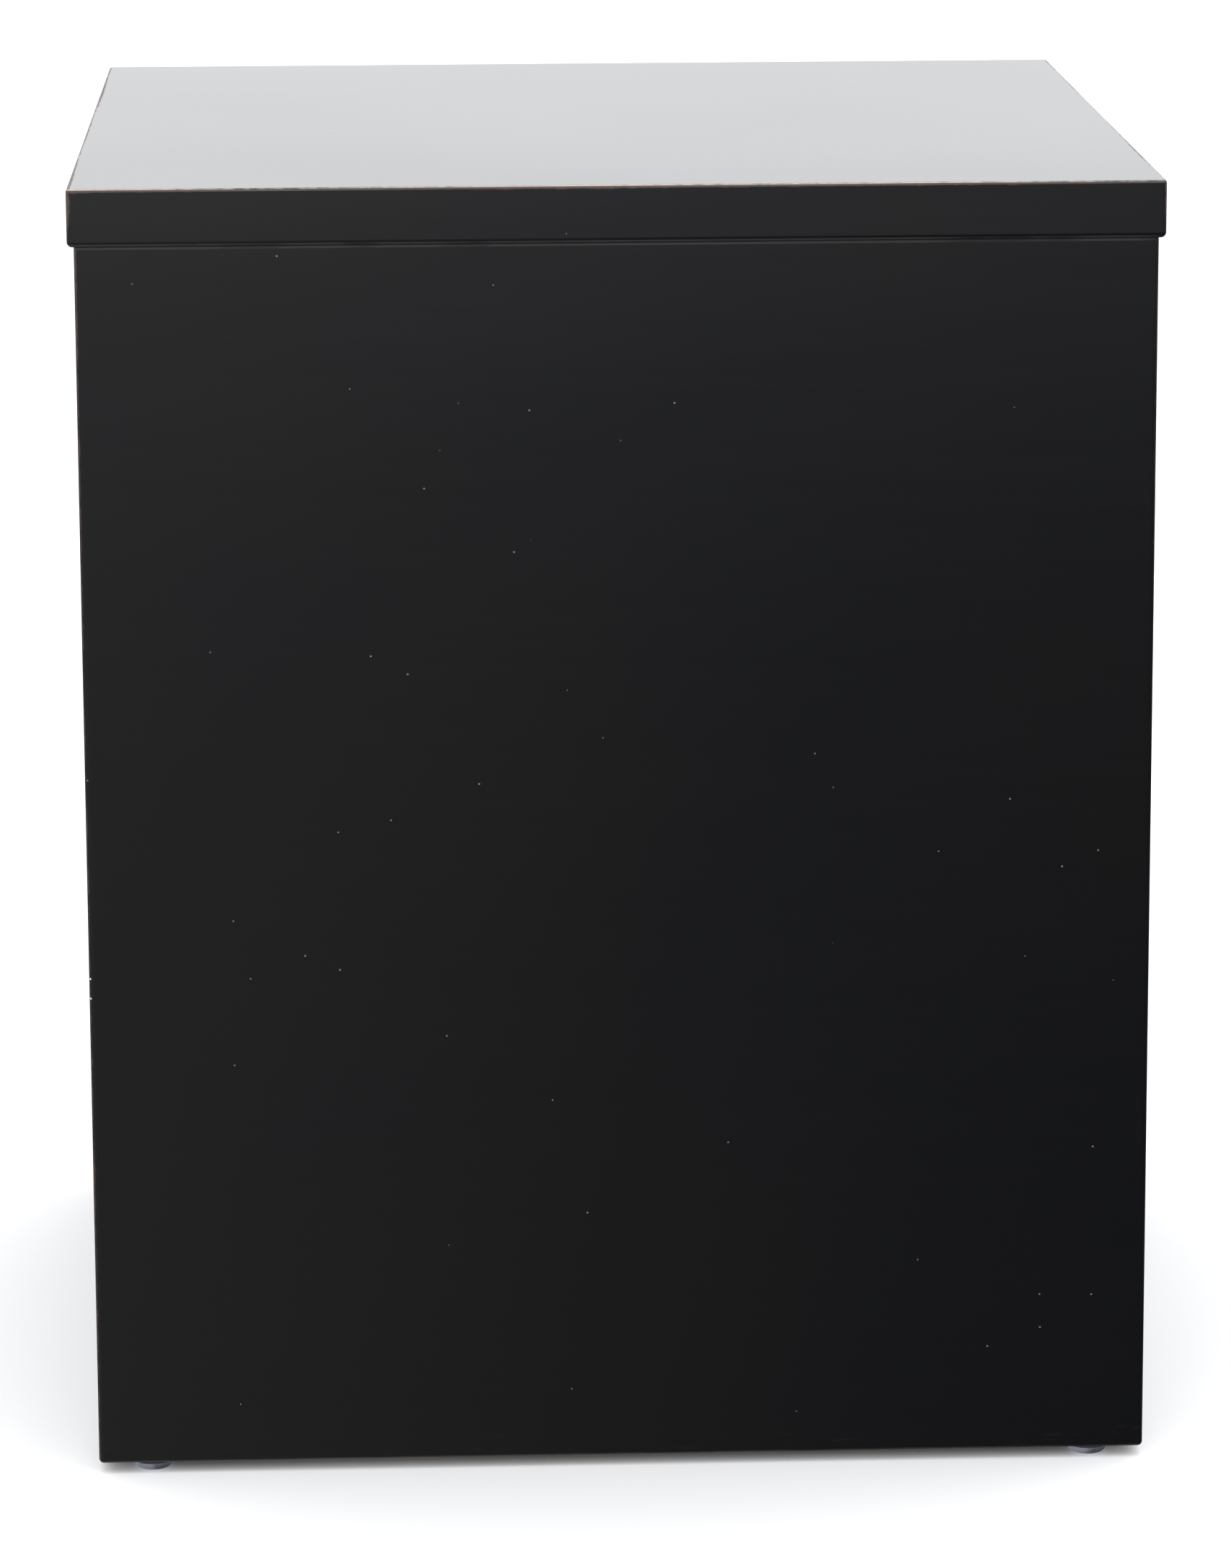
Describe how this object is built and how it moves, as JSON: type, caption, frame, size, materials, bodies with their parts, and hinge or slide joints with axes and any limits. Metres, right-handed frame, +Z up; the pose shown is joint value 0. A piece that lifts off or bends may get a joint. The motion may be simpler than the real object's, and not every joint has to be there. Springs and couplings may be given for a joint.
{
  "type": "box riser",
  "caption": "Tall closed wooden box riser in satin black lacquer, with an overhanging slab top, hand slots in its ends and low round glides.",
  "frame": {"origin": "on the floor, under the middle of the box", "axes": "+Z up, -Y towards the plain front face, +X to the right seen from the front"},
  "size_m": [0.508, 0.508, 0.62],
  "materials": {
    "black_lacquer": "satin black lacquer, rubbed through to reddish brown on the edges",
    "bare_wood": "unfinished",
    "plywood": "unfinished plywood",
    "fastener_steel": "zinc plated",
    "glide_steel": "nickel plated",
    "glide_rubber": "matte"
  },
  "bodies": {
    "root": {"back_panel": "black_lacquer", "bottom_cleat_back": "bare_wood", "bottom_cleat_front": "bare_wood", "bottom_cleat_left": "bare_wood", "bottom_cleat_right": "bare_wood", "bottom_panel": "plywood", "bottom_panel_screws": "fastener_steel", "cleat_screws": "fastener_steel", "corner_post_back_left": "bare_wood", "corner_post_back_right": "bare_wood", "corner_post_front_left": "bare_wood", "corner_post_front_right": "bare_wood", "corner_spline_back_left": "bare_wood", "corner_spline_back_right": "bare_wood", "corner_spline_front_left": "bare_wood", "corner_spline_front_right": "bare_wood", "front_panel": "black_lacquer", "glide_cap_back_left": "glide_steel", "glide_cap_back_right": "glide_steel", "glide_cap_front_left": "glide_steel", "glide_cap_front_right": "glide_steel", "glide_cushion_back_left": "glide_rubber", "glide_cushion_back_right": "glide_rubber", "glide_cushion_front_left": "glide_rubber", "glide_cushion_front_right": "glide_rubber", "glide_nails": "fastener_steel", "left_end": "black_lacquer", "middle_divider": "plywood", "post_screws": "fastener_steel", "right_end": "black_lacquer", "top_buildup_back": "bare_wood", "top_buildup_front": "bare_wood", "top_buildup_left": "bare_wood", "top_buildup_right": "bare_wood", "top_cleat_back": "bare_wood", "top_cleat_front": "bare_wood", "top_cleat_left": "bare_wood", "top_cleat_right": "bare_wood", "top_fixing_screws": "fastener_steel", "top_lipping_back": "black_lacquer", "top_lipping_front": "black_lacquer", "top_lipping_left": "black_lacquer", "top_lipping_right": "black_lacquer", "top_panel": "black_lacquer"}
  },
  "joints": []
}
